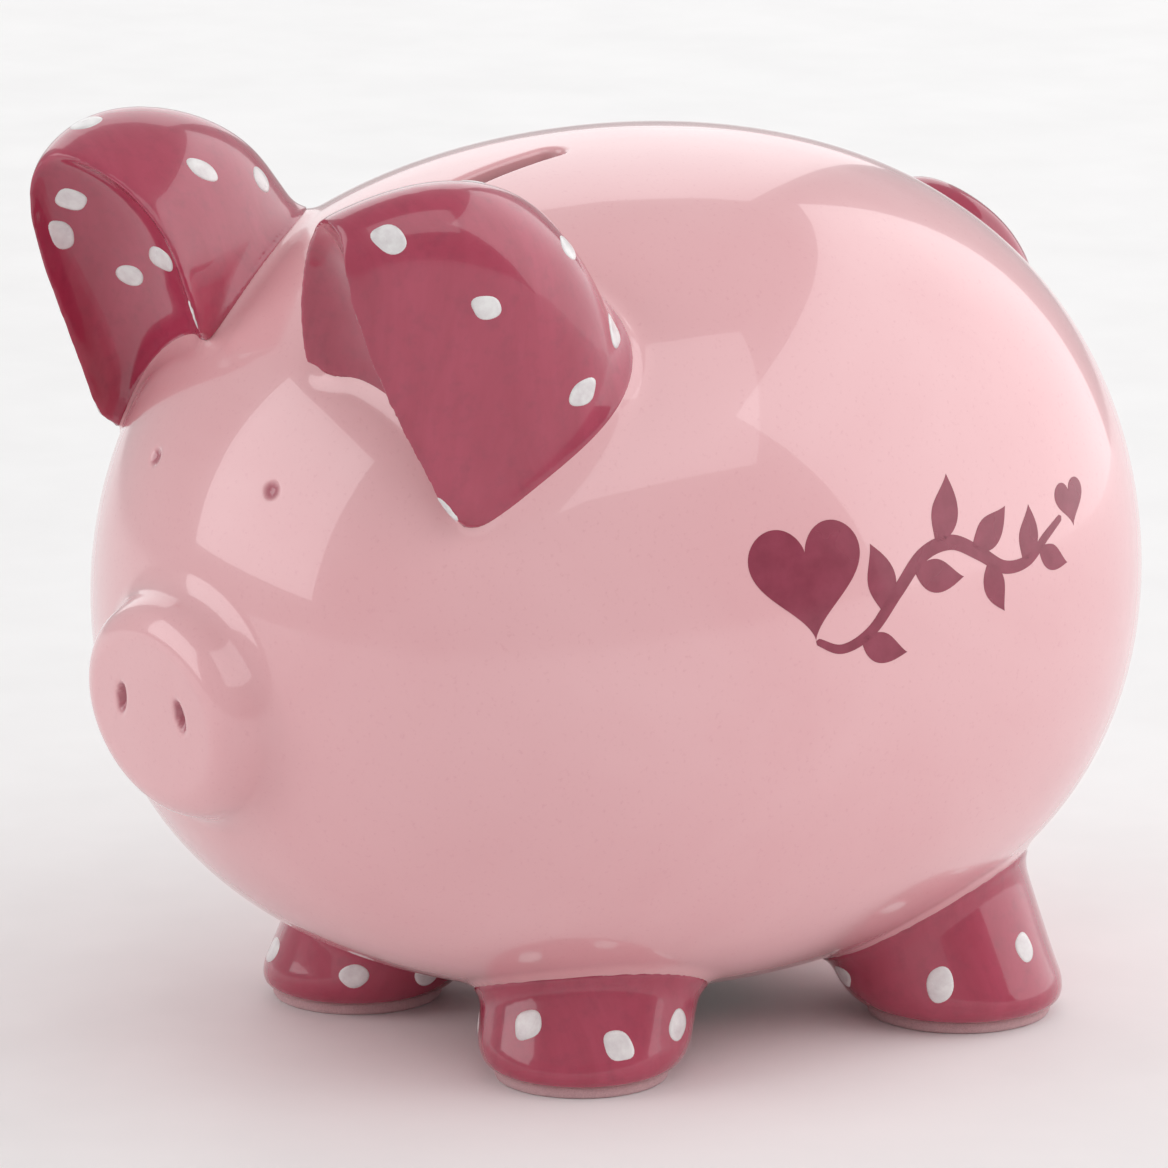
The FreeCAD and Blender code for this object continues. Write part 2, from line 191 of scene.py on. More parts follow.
def snout_depth(points):
    """Signed distance to the snout's drum with its rounded rim."""
    offset = points - SNOUT_MIDDLE
    side, high, out = offset[:, 0], offset @ SNOUT_UP, offset @ SNOUT_OUT
    reach = np.hypot(side, high) + 1e-9
    oval = np.hypot(side / SNOUT_HALF[0], high / SNOUT_HALF[1]) + 1e-9
    wide = reach * (1 - 1 / oval) + SNOUT_RIM
    tall = np.abs(out + SNOUT_DEPTH / 2) - SNOUT_DEPTH / 2 + SNOUT_RIM
    outside = np.hypot(np.maximum(wide, 0), np.maximum(tall, 0))
    return np.minimum(np.maximum(wide, tall), 0) + outside - SNOUT_RIM


def dent_depth(points, middle, size, slant):
    """Signed distance, roughly, to an oval dent turned about the Y axis."""
    offset = points - middle
    c, s = math.cos(slant), math.sin(slant)
    x = c * offset[:, 0] - s * offset[:, 2]
    z = s * offset[:, 0] + c * offset[:, 2]
    scaled = np.sqrt((x / size[0]) ** 2 + (offset[:, 1] / size[1]) ** 2 + (z / size[2]) ** 2)
    return (scaled - 1) * min(size)


EYE = front_skin(EYE_SPREAD, EYE_HEIGHT)
EYE = EYE + unit(EYE - BODY_CENTRE) * EYE_LIFT


def dents(points):
    """Signed distance to the nearest of the eyes' and nostrils' dents."""
    nearest = np.full(len(points), 99.0)
    for sign in (1, -1):
        nostril = np.array(NOSTRIL) * (sign, 1, 1)
        eye = EYE * (sign, 1, 1)
        near = np.linalg.norm(points - nostril, axis=1) < 12
        nearest[near] = np.minimum(
            nearest[near], dent_depth(points[near], nostril, NOSTRIL_SIZE, -sign * NOSTRIL_SLANT)
        )
        nearest = np.minimum(nearest, np.linalg.norm(points - eye, axis=1) - EYE_RADIUS)
    return nearest


def form_depth(points):
    """Signed distance, roughly, to the body with its snout, eyes and nostrils."""
    solid = smooth_min(egg_depth(points), snout_depth(points), SNOUT_BLEND)
    return -smooth_min(-solid, dents(points), 0.9)


def skin(directions):
    """The points of the skin along unit directions from the body's centre."""
    near = egg_reach(directions) - 6
    reach = last_inside(
        lambda reach: form_depth(BODY_CENTRE + directions * reach[:, None]) < 0, near, near + 22, 28
    )
    return BODY_CENTRE + directions * reach[:, None]


def skin_at(points, inset=0.0):
    """The skin over or under points given by X and Y, keeping their side of the centre."""
    points = points.copy()
    for _ in range(12):
        offset = points - BODY_CENTRE
        reach = np.linalg.norm(offset, axis=1)
        want = egg_reach(offset / reach[:, None]) - inset
        rise = offset[:, 2]
        points[:, 2] = BODY_CENTRE[2] + rise + (want - reach) * reach / rise
    return points


# -------- body shell
SLOT_MIDDLE = (0.0, -26.4)
SLOT_HALF_WIDTH = 2.5
SLOT_STRAIGHT = 16.5
SLOT_LIP = 1.0
THROAT_MIDDLE = (0.0, 9.6)
THROAT_RADIUS = 16.0
RECESS_RADIUS = 20.5
RECESS_TOP = 8.4
RECESS_LIP = 1.1


def dense_steps(start, end, dense_start, dense_end, fine, coarse, fade):
    """Values from start to end whose step is fine inside the dense span and coarse away from it."""
    values = [start]
    while values[-1] < end:
        away = max(dense_start - values[-1], values[-1] - dense_end, 0)
        values.append(values[-1] + fine + (coarse - fine) * float(ease(away / fade)))
    values = np.array(values)
    return start + (values - start) * (end - start) / (values[-1] - start)


def pole(x, y, z):
    """A direction from the centre as a number in the plane of a stereographic map."""
    direction = unit(np.array([x, y, z]))
    return complex(direction[0], direction[1]) / (1 + direction[2])


SLOT_POLE = pole(0, SLOT_MIDDLE[1] - BODY_CENTRE[1], 64.5)
THROAT_POLE = pole(0, THROAT_MIDDLE[1] - BODY_CENTRE[1], -62.0)
SLOT_RHO = 0.0815
SLOT_FOCUS = 0.0048
THROAT_RHO = 5.9


def map_directions(rho, phi):
    """Unit directions for rings that are ovals about the slot and circles about the throat."""
    zeta = rho * np.exp(1j * phi)
    wide = zeta - SLOT_FOCUS / zeta
    flat = (wide + SLOT_POLE) / (1 + wide / THROAT_POLE)
    square = np.abs(flat) ** 2
    return np.stack([2 * flat.real, 2 * flat.imag, 1 - square], -1) / (1 + square)[..., None]


def slot_ring(phi, grow):
    """X and Y of the slot's outline, grown by a distance."""
    radius = SLOT_HALF_WIDTH + grow
    y = (SLOT_STRAIGHT + radius) * np.sin(phi)
    over = np.maximum(np.abs(y) - SLOT_STRAIGHT, 0)
    x = np.copysign(np.sqrt(np.maximum(radius ** 2 - over ** 2, 0)), np.cos(phi))
    return np.stack([x, y + SLOT_MIDDLE[1]], -1)


def circle_ring(phi, radius):
    """X and Y of a circle about the throat's axis."""
    return np.stack([radius * np.cos(phi), radius * np.sin(phi) + THROAT_MIDDLE[1]], -1)


def draw_ends(rings, first_outline, last_outline, count, inset=0.0):
    """Draw the first and last rings towards two outlines, and set them on the skin again."""
    for rows, outline in ((rings, first_outline), (rings[::-1], last_outline)):
        shift = outline - rows[0, :, :2]
        for row in range(count):
            rows[row, :, :2] += shift * (1 - float(ease(row / count)))
        rows[:count] = skin_at(rows[:count].reshape(-1, 3), inset).reshape(rows[:count].shape)


def body_rings():
    """The closed tube of rings: cavity from throat to slot, slot wall, skin, recess and throat."""
    fine, coarse = ((0.0060, 0.026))
    front = -math.pi / 2
    spread = math.radians(25)
    phi = dense_steps(
        front - math.pi, front + math.pi, front - spread, front + spread, fine, coarse, math.radians(75)
    )[:-1]
    log_rho = dense_steps(
        math.log(SLOT_RHO), math.log(THROAT_RHO), math.log(0.42), math.log(1.28), fine, coarse * 0.9, 0.6
    )
    rho_grid, phi_grid = np.meshgrid(np.exp(log_rho), phi, indexing="ij")
    shape = rho_grid.shape + (3,)
    directions = map_directions(rho_grid, phi_grid)
    outer = skin(directions.reshape(-1, 3)).reshape(shape)
    draw_ends(outer, slot_ring(phi, SLOT_LIP), circle_ring(phi, RECESS_RADIUS + RECESS_LIP), 14)

    inner_rho = np.exp(np.linspace(math.log(SLOT_RHO), math.log(THROAT_RHO), 40))
    rho_inner, phi_inner = np.meshgrid(inner_rho, phi, indexing="ij")
    inner_directions = map_directions(rho_inner, phi_inner)
    flat_directions = inner_directions.reshape(-1, 3)
    inner = BODY_CENTRE + flat_directions * (egg_reach(flat_directions) - WALL)[:, None]
    inner = inner.reshape(rho_inner.shape + (3,))
    draw_ends(inner, slot_ring(phi, 0.3), circle_ring(phi, THROAT_RADIUS + 0.4), 5, WALL)

    slot_wall = []
    for share in (0.25, 0.6):
        ring = np.column_stack([slot_ring(phi, 0.0), outer[0, :, 2]])
        top = skin_at(ring)[:, 2] - SLOT_LIP
        low = skin_at(ring, WALL)[:, 2]
        ring[:, 2] = low + 0.3 + (top - low - 0.3) * share
        slot_wall.append(ring)
    for angle in np.radians((90, 75, 60, 45, 30, 15)):
        ring = np.column_stack([slot_ring(phi, SLOT_LIP * (1 - math.sin(angle))), outer[0, :, 2]])
        ring = skin_at(ring)
        ring[:, 2] -= SLOT_LIP * (1 - math.cos(angle))
        slot_wall.append(ring)

    recess = []
    for angle in np.radians((15, 30, 45, 60, 75, 90)):
        radius = RECESS_RADIUS + RECESS_LIP * (1 - math.sin(angle))
        ring = skin_at(np.column_stack([circle_ring(phi, radius), outer[-1, :, 2]]))
        ring[:, 2] += RECESS_LIP * (1 - math.cos(angle))
        recess.append(ring)
    throat_top = skin_at(np.column_stack([circle_ring(phi, THROAT_RADIUS), outer[-1, :, 2]]), WALL)[:, 2]
    corners = (
        (RECESS_RADIUS, RECESS_TOP - 0.3),
        (RECESS_RADIUS - 0.3, RECESS_TOP),
        ((RECESS_RADIUS + THROAT_RADIUS) / 2, RECESS_TOP),
        (THROAT_RADIUS + 0.15, RECESS_TOP),
        (THROAT_RADIUS, RECESS_TOP + 0.15),
    )
    for radius, height in corners:
        recess.append(np.column_stack([circle_ring(phi, radius), np.full(len(phi), height)]))
    throat_top = np.maximum(throat_top - 0.4, RECESS_TOP + 0.3)
    recess.append(np.column_stack([circle_ring(phi, THROAT_RADIUS), throat_top]))
    return inner[::-1], np.array(slot_wall), outer, np.array(recess)


# -------- ears
# The left ear is a lobe of sections along a bent spine, from 0 at its root to 1 at its tip. A
# section has a rim from its inner to its outer end, a back that bulges away from the face, and
# a shallow dish in front. Below its root the spine sinks into the head.
EAR_ROOT = np.array([30.0, -64.6, 115.2])
EAR_SPINE = np.array([1.2, -7.8, 22.5])
EAR_CURL = np.array([7.3, -6.5, 2.3])
EAR_RIM = np.array([13.9, 3.1, -11.4])
EAR_RIM_CHANGE = np.array([-4.6, -4.5, 2.5])
EAR_BACK = np.array([10.8, 28.4, 16.4])
EAR_BACK_CHANGE = np.array([5.3, -4.8, -2.4])
EAR_TAPER = 2.148
EAR_INNER_FULLNESS = 0.873
EAR_OUTER_FULLNESS = 0.698
EAR_DISH = 0.10
EAR_START = -0.45
EAR_SWELL = 0.30
EAR_SOFTNESS = 2.0
EAR_OUTER_REACH = 0.166
EAR_INNER_REACH = -0.006
EAR_TUCK = 0.185
EAR_TUCK_START = 0.2
EAR_SINK = 16.0
EAR_HEM, EAR_HEM_ROUND = 99.5, 4.0
EAR_LIP = 0.073
EAR_OUTER_LIP = 0.09
EAR_BULGE = 0.18
EAR_BAND = (0.125, 0.25, 0.375, 0.5, 0.625, 0.75, 0.875)
EAR_LIP_FALL = 1.3
EAR_REACH_FALL = 0.75
EAR_DROP = 0.6
EAR_VOXEL = 0.55
HIDDEN_DEPTH = 2.4


def bulged(start, end, outward):
    """Points of a rounded band from one rim of a section to the other."""
    reach = EAR_BULGE * np.linalg.norm(end - start)
    return [
        start + (end - start) * step + outward * (reach * math.sin(math.pi * step)) for step in EAR_BAND
    ]


def ear_lobe():
    """The left ear's lobe before its rims are rounded: points and faces of a closed mesh."""
    alongs = np.concatenate([np.linspace(EAR_START, 0, 14)[:-1], np.sin(np.linspace(0, math.pi / 2, 60))])
    angles = np.linspace(0, math.pi, 71)
    rings = []
    for along in alongs:
        rim = EAR_RIM + EAR_RIM_CHANGE * along
        back = EAR_BACK + EAR_BACK_CHANGE * along
        centre = EAR_ROOT + EAR_SPINE * along + EAR_CURL * along ** 2
        centre += unit(BODY_CENTRE - EAR_ROOT) * EAR_SINK * min(along, 0) ** 2
        shrink = max((1 - max(along, 0) ** EAR_TAPER) ** (1 / EAR_TAPER), 0.004)
        share = (1 + np.cos(angles)) / 2
        power = share * EAR_OUTER_FULLNESS + (1 - share) * EAR_INNER_FULLNESS
        across = np.copysign(np.abs(np.cos(angles)) ** power, np.cos(angles))
        reach = EAR_OUTER_REACH * share ** 2 + EAR_INNER_REACH * (1 - share) ** 2
        low = max(EAR_TUCK_START - along, 0) / (EAR_TUCK_START - EAR_START)
        reach = reach * (1 - EAR_REACH_FALL * max(along, 0)) - EAR_TUCK * share ** 2 * low ** 2
        across = across * (1 + reach)
        deep = np.sin(angles).clip(0) ** power
        outside = centre + (rim * across[:, None] + back * deep[:, None]) * shrink
        lip = EAR_LIP + EAR_OUTER_LIP * share ** 2
        sunk = EAR_DISH * deep - lip * (1 - deep) ** EAR_LIP_FALL
        inside = centre + (rim * across[:, None] + back * sunk[:, None]) * shrink
        inner_band = bulged(outside[-1], inside[-1], -unit(rim))
        outer_band = bulged(inside[0], outside[0], unit(rim))
        rings.append(np.concatenate([outside, inner_band, inside[::-1], outer_band]))
    rings = np.array(rings)
    below = np.maximum(EAR_HEM - rings[..., 2], 0)
    rings[..., 2] += below - EAR_HEM_ROUND * np.tanh(below / EAR_HEM_ROUND)
    return closed_tube(rings)


def as_triangles(faces):
    """Faces split into triangles."""
    split = []
    for face in faces:
        for corner in range(1, len(face) - 1):
            split.append((face[0], face[corner], face[corner + 1]))
    return np.array(split, np.uint32)


def even_mesh(points, faces, swell, voxel):
    """The closed mesh as an even grid of quads, swelled by a distance."""
    transform = openvdb.createLinearTransform(voxelSize=voxel)
    grid = openvdb.FloatGrid.createLevelSetFromPolygons(
        np.asarray(points, np.float32), triangles=as_triangles(faces), transform=transform, halfWidth=4
    )
    shell, quads = grid.convertToQuads(swell)
    return np.array(shell, float), np.array(quads)[:, ::-1].astype(int)


def relaxed(points, quads, rounds):
    """Points drawn towards their neighbours, which rounds every edge."""
    pairs = np.concatenate([quads[:, [0, 1]], quads[:, [1, 2]], quads[:, [2, 3]], quads[:, [3, 0]]])
    ends = np.concatenate([pairs[:, 0], pairs[:, 1]])
    starts = np.concatenate([pairs[:, 1], pairs[:, 0]])
    count = np.bincount(ends, minlength=len(points)).clip(1)[:, None]
    for _ in range(rounds):
        total = np.stack(
            [np.bincount(ends, points[starts, axis], len(points)) for axis in range(3)], -1
        )
        points = (points + total / count) / 2
    return points


def mesh_normals(points, faces):
    """Outward normals at the points of a mesh."""
    normals = np.zeros_like(points)
    faces = np.asarray(faces)
    first = points[faces[:, 2]] - points[faces[:, 0]]
    second = points[faces[:, 3]] - points[faces[:, 1]]
    for corner in range(4):
        np.add.at(normals, faces[:, corner], np.cross(first, second))
    return unit(normals + 1e-12)


def seated(points, normals, reach):
    """Points near the body swelled outwards, so that they meet its skin in a soft fillet."""
    depth = egg_depth(points)
    near = depth < reach
    lift = np.zeros(near.sum())
    for _ in range(8):
        moved = points[near] + normals[near] * lift[:, None]
        share = np.clip(1 - (egg_depth(moved) - lift) / reach, 0, 1)
        lift = share ** 2 * reach / 4
    points = points.copy()
    points[near] += normals[near] * lift[:, None]
    return points


def without_hidden(points, quads, deepest):
    """The mesh less what lies deeper in the body than a distance, closed again by one face."""
    keep = egg_depth(points) > -deepest
    quads = quads[keep[quads].all(1)]
    used = np.unique(quads)
    renumber = np.full(len(points), -1)
    renumber[used] = np.arange(len(used))
    points, quads = points[used], renumber[quads]
    edges = {(a, b) for quad in quads.tolist() for a, b in zip(quad, quad[1:] + quad[:1])}
    following = {b: a for a, b in edges if (b, a) not in edges}
    loops = []
    while following:
        start = next(iter(following))
        loop = [start]
        after = following.pop(start)
        while after != start and after in following:
            loop.append(after)
            after = following.pop(after)
        loops.append(tuple(loop))
    return points, [tuple(quad) for quad in quads.tolist()] + loops


# -------- feet, pads, tail
FEET = {
    "front_left": (1, 1.0, (29.0, -26.4), (20.0, -13.9)),
    "front_right": (-1, 1.0, (29.0, -26.4), (20.0, -13.9)),
    "rear_left": (1, 1.08, (38.0, 42.6), (25.0, 35.6)),
    "rear_right": (-1, 1.08, (38.0, 42.6), (25.0, 35.6)),
}
SOLE_HEIGHT = 2.0
SOLE_RADIUS = 13.7
SOLE_EDGE = (2.9, 5.0)
LEG_FOOT = SOLE_HEIGHT + SOLE_EDGE[1]
LEG_TOP = 34.0
LEG_FLARE = 2.6


def foot_profile():
    """Radius and height from the sole's rounded edge up to the leg."""
    angles = np.linspace(0, math.pi / 2, 16)
    wide, tall = SOLE_EDGE
    edge = [(SOLE_RADIUS + wide * math.sin(a), SOLE_HEIGHT + tall * (1 - math.cos(a))) for a in angles]
    leg = []
    for z in np.linspace(LEG_FOOT + 0.8, LEG_TOP, 44):
        share = (z - LEG_FOOT) / (LEG_TOP - LEG_FOOT)
        leg.append((SOLE_RADIUS + wide + LEG_FLARE * share ** 1.2, z))
    return np.array([(4.0, SOLE_HEIGHT), (9.0, SOLE_HEIGHT)] + edge + leg)


def foot_points(sign, scale, sole, leg, columns=150):
    """Rings of one foot from its sole up into the wall of the belly."""
    profile = foot_profile()
    angles = np.linspace(0, 2 * math.pi, columns, endpoint=False)
    rings = []
    for radius, height in profile:
        share = (height - SOLE_HEIGHT) / (LEG_TOP - SOLE_HEIGHT)
        x = sign * ((1 - share) * sole[0] + share * leg[0]) + scale * radius * np.cos(angles)
        y = (1 - share) * sole[1] + share * leg[1] + scale * radius * np.sin(angles)
        rings.append(np.stack([x, y, np.full(columns, height)], -1))
    rings = np.array(rings)
    depth = egg_depth(rings.reshape(-1, 3)).reshape(rings.shape[:2])
    for column in range(columns):
        buried = np.nonzero(depth[:, column] < -HIDDEN_DEPTH)[0]
        if len(buried):
            last = buried[0]
            before = depth[last - 1, column]
            share = (before + HIDDEN_DEPTH) / (before - depth[last, column])
            stop = rings[last - 1, column] * (1 - share) + rings[last, column] * share
            path = np.concatenate([rings[:last, column], stop[None]])
            old = np.linspace(0, 1, len(path))
            new = np.linspace(0, 1, len(rings))
            rings[:, column] = np.stack([np.interp(new, old, path[:, axis]) for axis in range(3)], -1)
    return rings


TAIL_RISE = math.radians(34.5)
TAIL_QUARTERS = 5
TAIL_CORE = 5.0
TAIL_GROWTH = 2.0
TAIL_MIDDLE = np.array([3.0, -2.0, -0.4])
TAIL_RADIUS, TAIL_SWELL = 3.5, 0.45
TAIL_SINK, TAIL_SINK_FROM = 2.2, 0.72


def tail_path():
    """The middle line of the tail's curl, from its free tip to its root."""
    centre = np.zeros(3)
    radius = TAIL_CORE
    path = []
    for quarter in range(TAIL_QUARTERS):
        start = quarter * math.pi / 2
        for angle in np.linspace(start, start + math.pi / 2, 24, endpoint=quarter == TAIL_QUARTERS - 1):
            path.append(centre + radius * np.array([math.cos(angle), math.sin(angle), 0]))
        end = start + math.pi / 2
        centre = centre - TAIL_GROWTH * np.array([math.cos(end), math.sin(end), 0])
        radius += TAIL_GROWTH
    return np.array(path)


def tail_rings(columns=40):
    """Rings of the tail, with a rounded tip and a root that sinks into the rump."""
    path = tail_path()
    share = np.linspace(0, 1, len(path))
    path[:, 2] -= TAIL_SINK * ease((share - TAIL_SINK_FROM) / (1 - TAIL_SINK_FROM))
    for _ in range(6):
        path[1:-1] = (path[:-2] + 2 * path[1:-1] + path[2:]) / 4
    forward = unit(np.gradient(path, axis=0))
    side = unit(np.cross(forward, (0, 0, 1)))
    up = np.cross(side, forward)
    radius = TAIL_RADIUS + TAIL_SWELL * ease(share / 0.5)
    angles = np.linspace(0, 2 * math.pi, columns, endpoint=False)
    rings = []

    def ring(at, size, shift):
        """One ring of the tube, moved along the path."""
        spread = side[at] * np.cos(angles)[:, None] + up[at] * np.sin(angles)[:, None]
        return path[at] + forward[at] * shift + spread * size

    for angle in np.radians((80, 65, 50, 35, 20)):
        rings.append(ring(0, radius[0] * math.cos(angle), -radius[0] * math.sin(angle)))
    rings += [ring(at, radius[at], 0) for at in range(len(path))]
    for angle in np.radians((20, 35, 50, 65, 80)):
        rings.append(ring(-1, radius[-1] * math.cos(angle), radius[-1] * math.sin(angle) * 0.9))
    return np.array(rings)[::-1]


def skin_normals(points):
    """Outward normals of the egg at points."""
    step = 0.05
    slopes = [
        egg_depth(points + step * axis) - egg_depth(points - step * axis) for axis in np.eye(3)
    ]
    return unit(np.stack(slopes, -1))


def seat_tail(rings):
    """The tail's rings moved from their own plane onto the rump."""
    toward = np.array([[0, math.cos(TAIL_RISE), math.sin(TAIL_RISE)]])
    skin_point = BODY_CENTRE + toward * egg_reach(toward)[:, None]
    out = skin_normals(skin_point)[0]
    turn = np.array([[1, 0, 0], [0, out[2], out[1]], [0, -out[1], out[2]]])
    return (rings - TAIL_MIDDLE) @ turn.T + skin_point[0]


# -------- surface decoration
DOT_HEIGHT, DOT_ROOT = 0.22, 0.25
DOT_SIZE = (2.15, 2.6)
DOT_STRETCH = (1.02, 1.2)
DOT_WOBBLE = 0.05
DOT_CLEAR, DOT_LOWEST = 4.2, 6.5
DOT_RINGS = (0.0, 0.3, 0.55, 0.75, 0.9, 1.0)
DOT_SIDES = 28
DOT_GAP = 12.5
SEEN_SIDE = Vector((0.76, -0.61, 0.23))
# The middles of the dots on the side that the camera sees. The other dots are spread at random.
DOTS = {
    "left_ear": (
        (45.0, -74.2, 140.0), (49.0, -59.7, 128.4), (45.6, -42.3, 134.3), (45.7, -35.6, 120.6),
        (47.4, -43.2, 113.8), (15.8, -64.5, 123.3), (26.3, -61.6, 118.5), (42.5, -66.6, 110.6),
    ),
    "right_ear": (
        (-38.1, -72.8, 133.6), (-42.3, -72.5, 127.6), (-34.7, -64.3, 121.0), (-25.8, -64.2, 125.0),
        (-44.2, -65.4, 110.3), (-38.9, -70.0, 145.3), (-23.8, -57.5, 139.0), (-24.9, -43.3, 136.3),
    ),
    "front_left_foot": ((31.6, -38.8, 10.8), (42.7, -29.9, 8.4), (42.8, -18.3, 9.6)),
    "front_right_foot": ((-34.7, -39.3, 8.1), (-16.4, -36.4, 7.3), (-11.4, -25.9, 7.4)),
    "rear_left_foot": ((32.0, 25.0, 7.7), (49.0, 29.3, 8.8), (51.6, 44.7, 12.8)),
    "rear_right_foot": (),
}


def surface_tree(points, faces):
    """A search tree of a mesh in millimetres."""
    return BVHTree.FromPolygons(np.asarray(points).tolist(), [list(map(int, f)) for f in faces])


def dot_mesh(tree, middle, normal, random):
    """A flattened drop of enamel on a surface: a domed top on an oval of its own, and a base inside."""
    turn = random.uniform(0, math.pi)
    size = random.uniform(*DOT_SIZE)
    stretch = random.uniform(*DOT_STRETCH)
    side = normal.orthogonal().normalized()
    other = normal.cross(side)
    wobble = [random.uniform(-DOT_WOBBLE, DOT_WOBBLE) for _ in range(3)]
    points, faces = [], []
    for top in (True, False):
        for ring in DOT_RINGS:
            for step in range(DOT_SIDES if ring else 1):
                angle = 2 * math.pi * step / DOT_SIDES
                edge = 1 + sum(w * math.sin((k + 2) * angle + 9 * w) for k, w in enumerate(wobble))
                a = size * stretch * edge * ring * math.cos(angle)
                b = size / stretch * edge * ring * math.sin(angle)
                flat = side * (a * math.cos(turn) - b * math.sin(turn))
                flat += other * (a * math.sin(turn) + b * math.cos(turn))
                place, out, _, _ = tree.find_nearest(middle + flat)
                rise = DOT_HEIGHT * (1 - ring ** 4) ** 0.5 - 0.02 if top else -DOT_ROOT
                points.append(place + out * rise)
    per_layer = 1 + DOT_SIDES * (len(DOT_RINGS) - 1)
    for layer in (0, 1):
        base = layer * per_layer
        rows = []
        for step in range(DOT_SIDES):
            after = (step + 1) % DOT_SIDES
            rows.append((base, base + 1 + step, base + 1 + after))
            for ring in range(len(DOT_RINGS) - 2):
                a = base + 1 + ring * DOT_SIDES
                b = a + DOT_SIDES
                rows.append((a + step, b + step, b + after, a + after))
        faces += [row[::-1] for row in rows] if layer else rows
    brim = 1 + DOT_SIDES * (len(DOT_RINGS) - 2)
    base = per_layer + brim
    for step in range(DOT_SIDES):
        after = (step + 1) % DOT_SIDES
        faces.append((brim + step, base + step, base + after, brim + after))
    return np.array([tuple(p) for p in points]), faces


def dot_places(points, normals, given, random):
    """The given places of dots, then more of them over the sides that face away."""
    depth = egg_depth(points)
    free = (depth > DOT_CLEAR) & (points[:, 2] > DOT_LOWEST) & (normals @ np.array(SEEN_SIDE) < -0.05)
    chosen = [np.array(place) for place in given]
    for index in random.permutation(np.nonzero(free)[0]):
        place = points[index]
        if all(np.linalg.norm(place - other) > DOT_GAP for other in chosen):
            chosen.append(place)
    return chosen


def join_meshes(parts):
    """Several lists of points and faces as one."""
    points, faces, first = [], [], 0
    for some_points, some_faces in parts:
        points.append(np.asarray(some_points))
        faces += [tuple(int(corner) + first for corner in face) for face in some_faces]
        first += len(some_points)
    return np.concatenate(points), faces


# A generic flourish on the left flank: two hearts and a leafy sprig, in a plane over the flank.
# Points are (along, up). A heart is its middle and its size. A leaf is its root, its heading in
# degrees, its length and its width.
FLOURISH_ORIGIN = (-22.0, 70.0)
FLOURISH_RISE = math.radians(3.0)
INK_RISE = 0.04
INK_SINK = 0.2
HEARTS = (((9.0, 14.5), 0.60), ((64.5, 14.5), 0.24))
STEM = (
    (9.0, 4.2), (13.5, 2.2), (19.0, 4.0), (24.5, 9.0), (30.0, 13.4), (36.0, 14.2), (41.5, 11.4),
    (46.5, 8.2), (52.0, 8.0), (57.0, 10.6), (61.5, 12.6),
)
STEM_WIDTH = 2.3
LEAVES = (
    ((17.0, 3.4), -28.0, 9.0, 4.2),
    ((21.5, 6.2), 92.0, 10.5, 4.8),
    ((28.0, 12.0), -22.0, 10.0, 4.6),
    ((33.0, 14.4), 62.0, 10.5, 4.8),
    ((40.0, 12.4), 26.0, 9.5, 4.4),
    ((43.5, 10.0), -78.0, 8.5, 4.0),
    ((51.0, 7.9), 68.0, 8.5, 4.0),
    ((55.0, 9.4), -34.0, 7.5, 3.4),
)
INK_COLUMNS = np.linspace(-1, 1, 5)[None, :, None]


def through(knots, steps=14):
    """Points along a smooth line through knots."""
    knots = np.asarray(knots, float)
    padded = np.concatenate([2 * knots[:1] - knots[1:2], knots, 2 * knots[-1:] - knots[-2:-1]])
    line = []
    for k in range(len(knots) - 1):
        a, b, c, d = padded[k:k + 4]
        for t in np.arange(steps) / steps:
            line.append(
                0.5 * (2 * b + (c - a) * t + (2 * a - 5 * b + 4 * c - d) * t ** 2
                       + (3 * b - 3 * c + d - a) * t ** 3)
            )
    line.append(knots[-1])
    return np.array(line)


def on_flank(flat):
    """Points of the left flank's skin under points of the flourish's plane."""
    c, s = math.cos(FLOURISH_RISE), math.sin(FLOURISH_RISE)
    y = FLOURISH_ORIGIN[0] + c * flat[:, 0] - s * flat[:, 1]
    z = FLOURISH_ORIGIN[1] + s * flat[:, 0] + c * flat[:, 1]
    near, far = np.full(len(flat), 20.0), np.full(len(flat), 90.0)
    x = last_inside(lambda x: egg_depth(np.stack([x, y, z], -1)) < 0, near, far, 30)
    points = np.stack([x, y, z], -1)
    return points, skin_normals(points)


def ink_mesh(grid):
    """A thin closed layer over the flank from a grid of plane points."""
    rows, columns = grid.shape[:2]
    points, normals = on_flank(grid.reshape(-1, 2))
    layers = np.concatenate([points + normals * INK_RISE, points - normals * INK_SINK])
    total = rows * columns
    faces = []
    for row in range(rows - 1):
        for column in range(columns - 1):
            a = row * columns + column
            quad = (a, a + columns, a + columns + 1, a + 1)
            faces.append(quad)
            faces.append(tuple(total + corner for corner in quad[::-1]))
    border = list(range(columns))
    border += [row * columns + columns - 1 for row in range(1, rows)]
    border += [(rows - 1) * columns + column for column in range(columns - 2, -1, -1)]
    border += [row * columns for row in range(rows - 2, 0, -1)]
    for a, b in zip(border, border[1:] + border[:1]):
        faces.append((a, b, total + b, total + a))
    return layers, faces


def stroke_grid(knots, width):
    """A pen stroke as rows of plane points: round at both ends and fuller in its middle."""
    line = through(knots)
    forward = unit(np.gradient(line, axis=0))
    side = np.stack([-forward[:, 1], forward[:, 0]], -1)
    length = np.concatenate([[0], np.cumsum(np.linalg.norm(np.diff(line, axis=0), axis=1))])
    share = length / length[-1]
    half = width / 2 * (0.45 + 0.55 * np.sin(math.pi * share) ** 0.8)
    from_end = np.minimum(length, length[-1] - length)
    half = half * np.sqrt(1 - (1 - np.clip(from_end / half, 0, 1)) ** 2).clip(0.08)
    return line[:, None] + side[:, None] * (INK_COLUMNS * half[:, None, None])


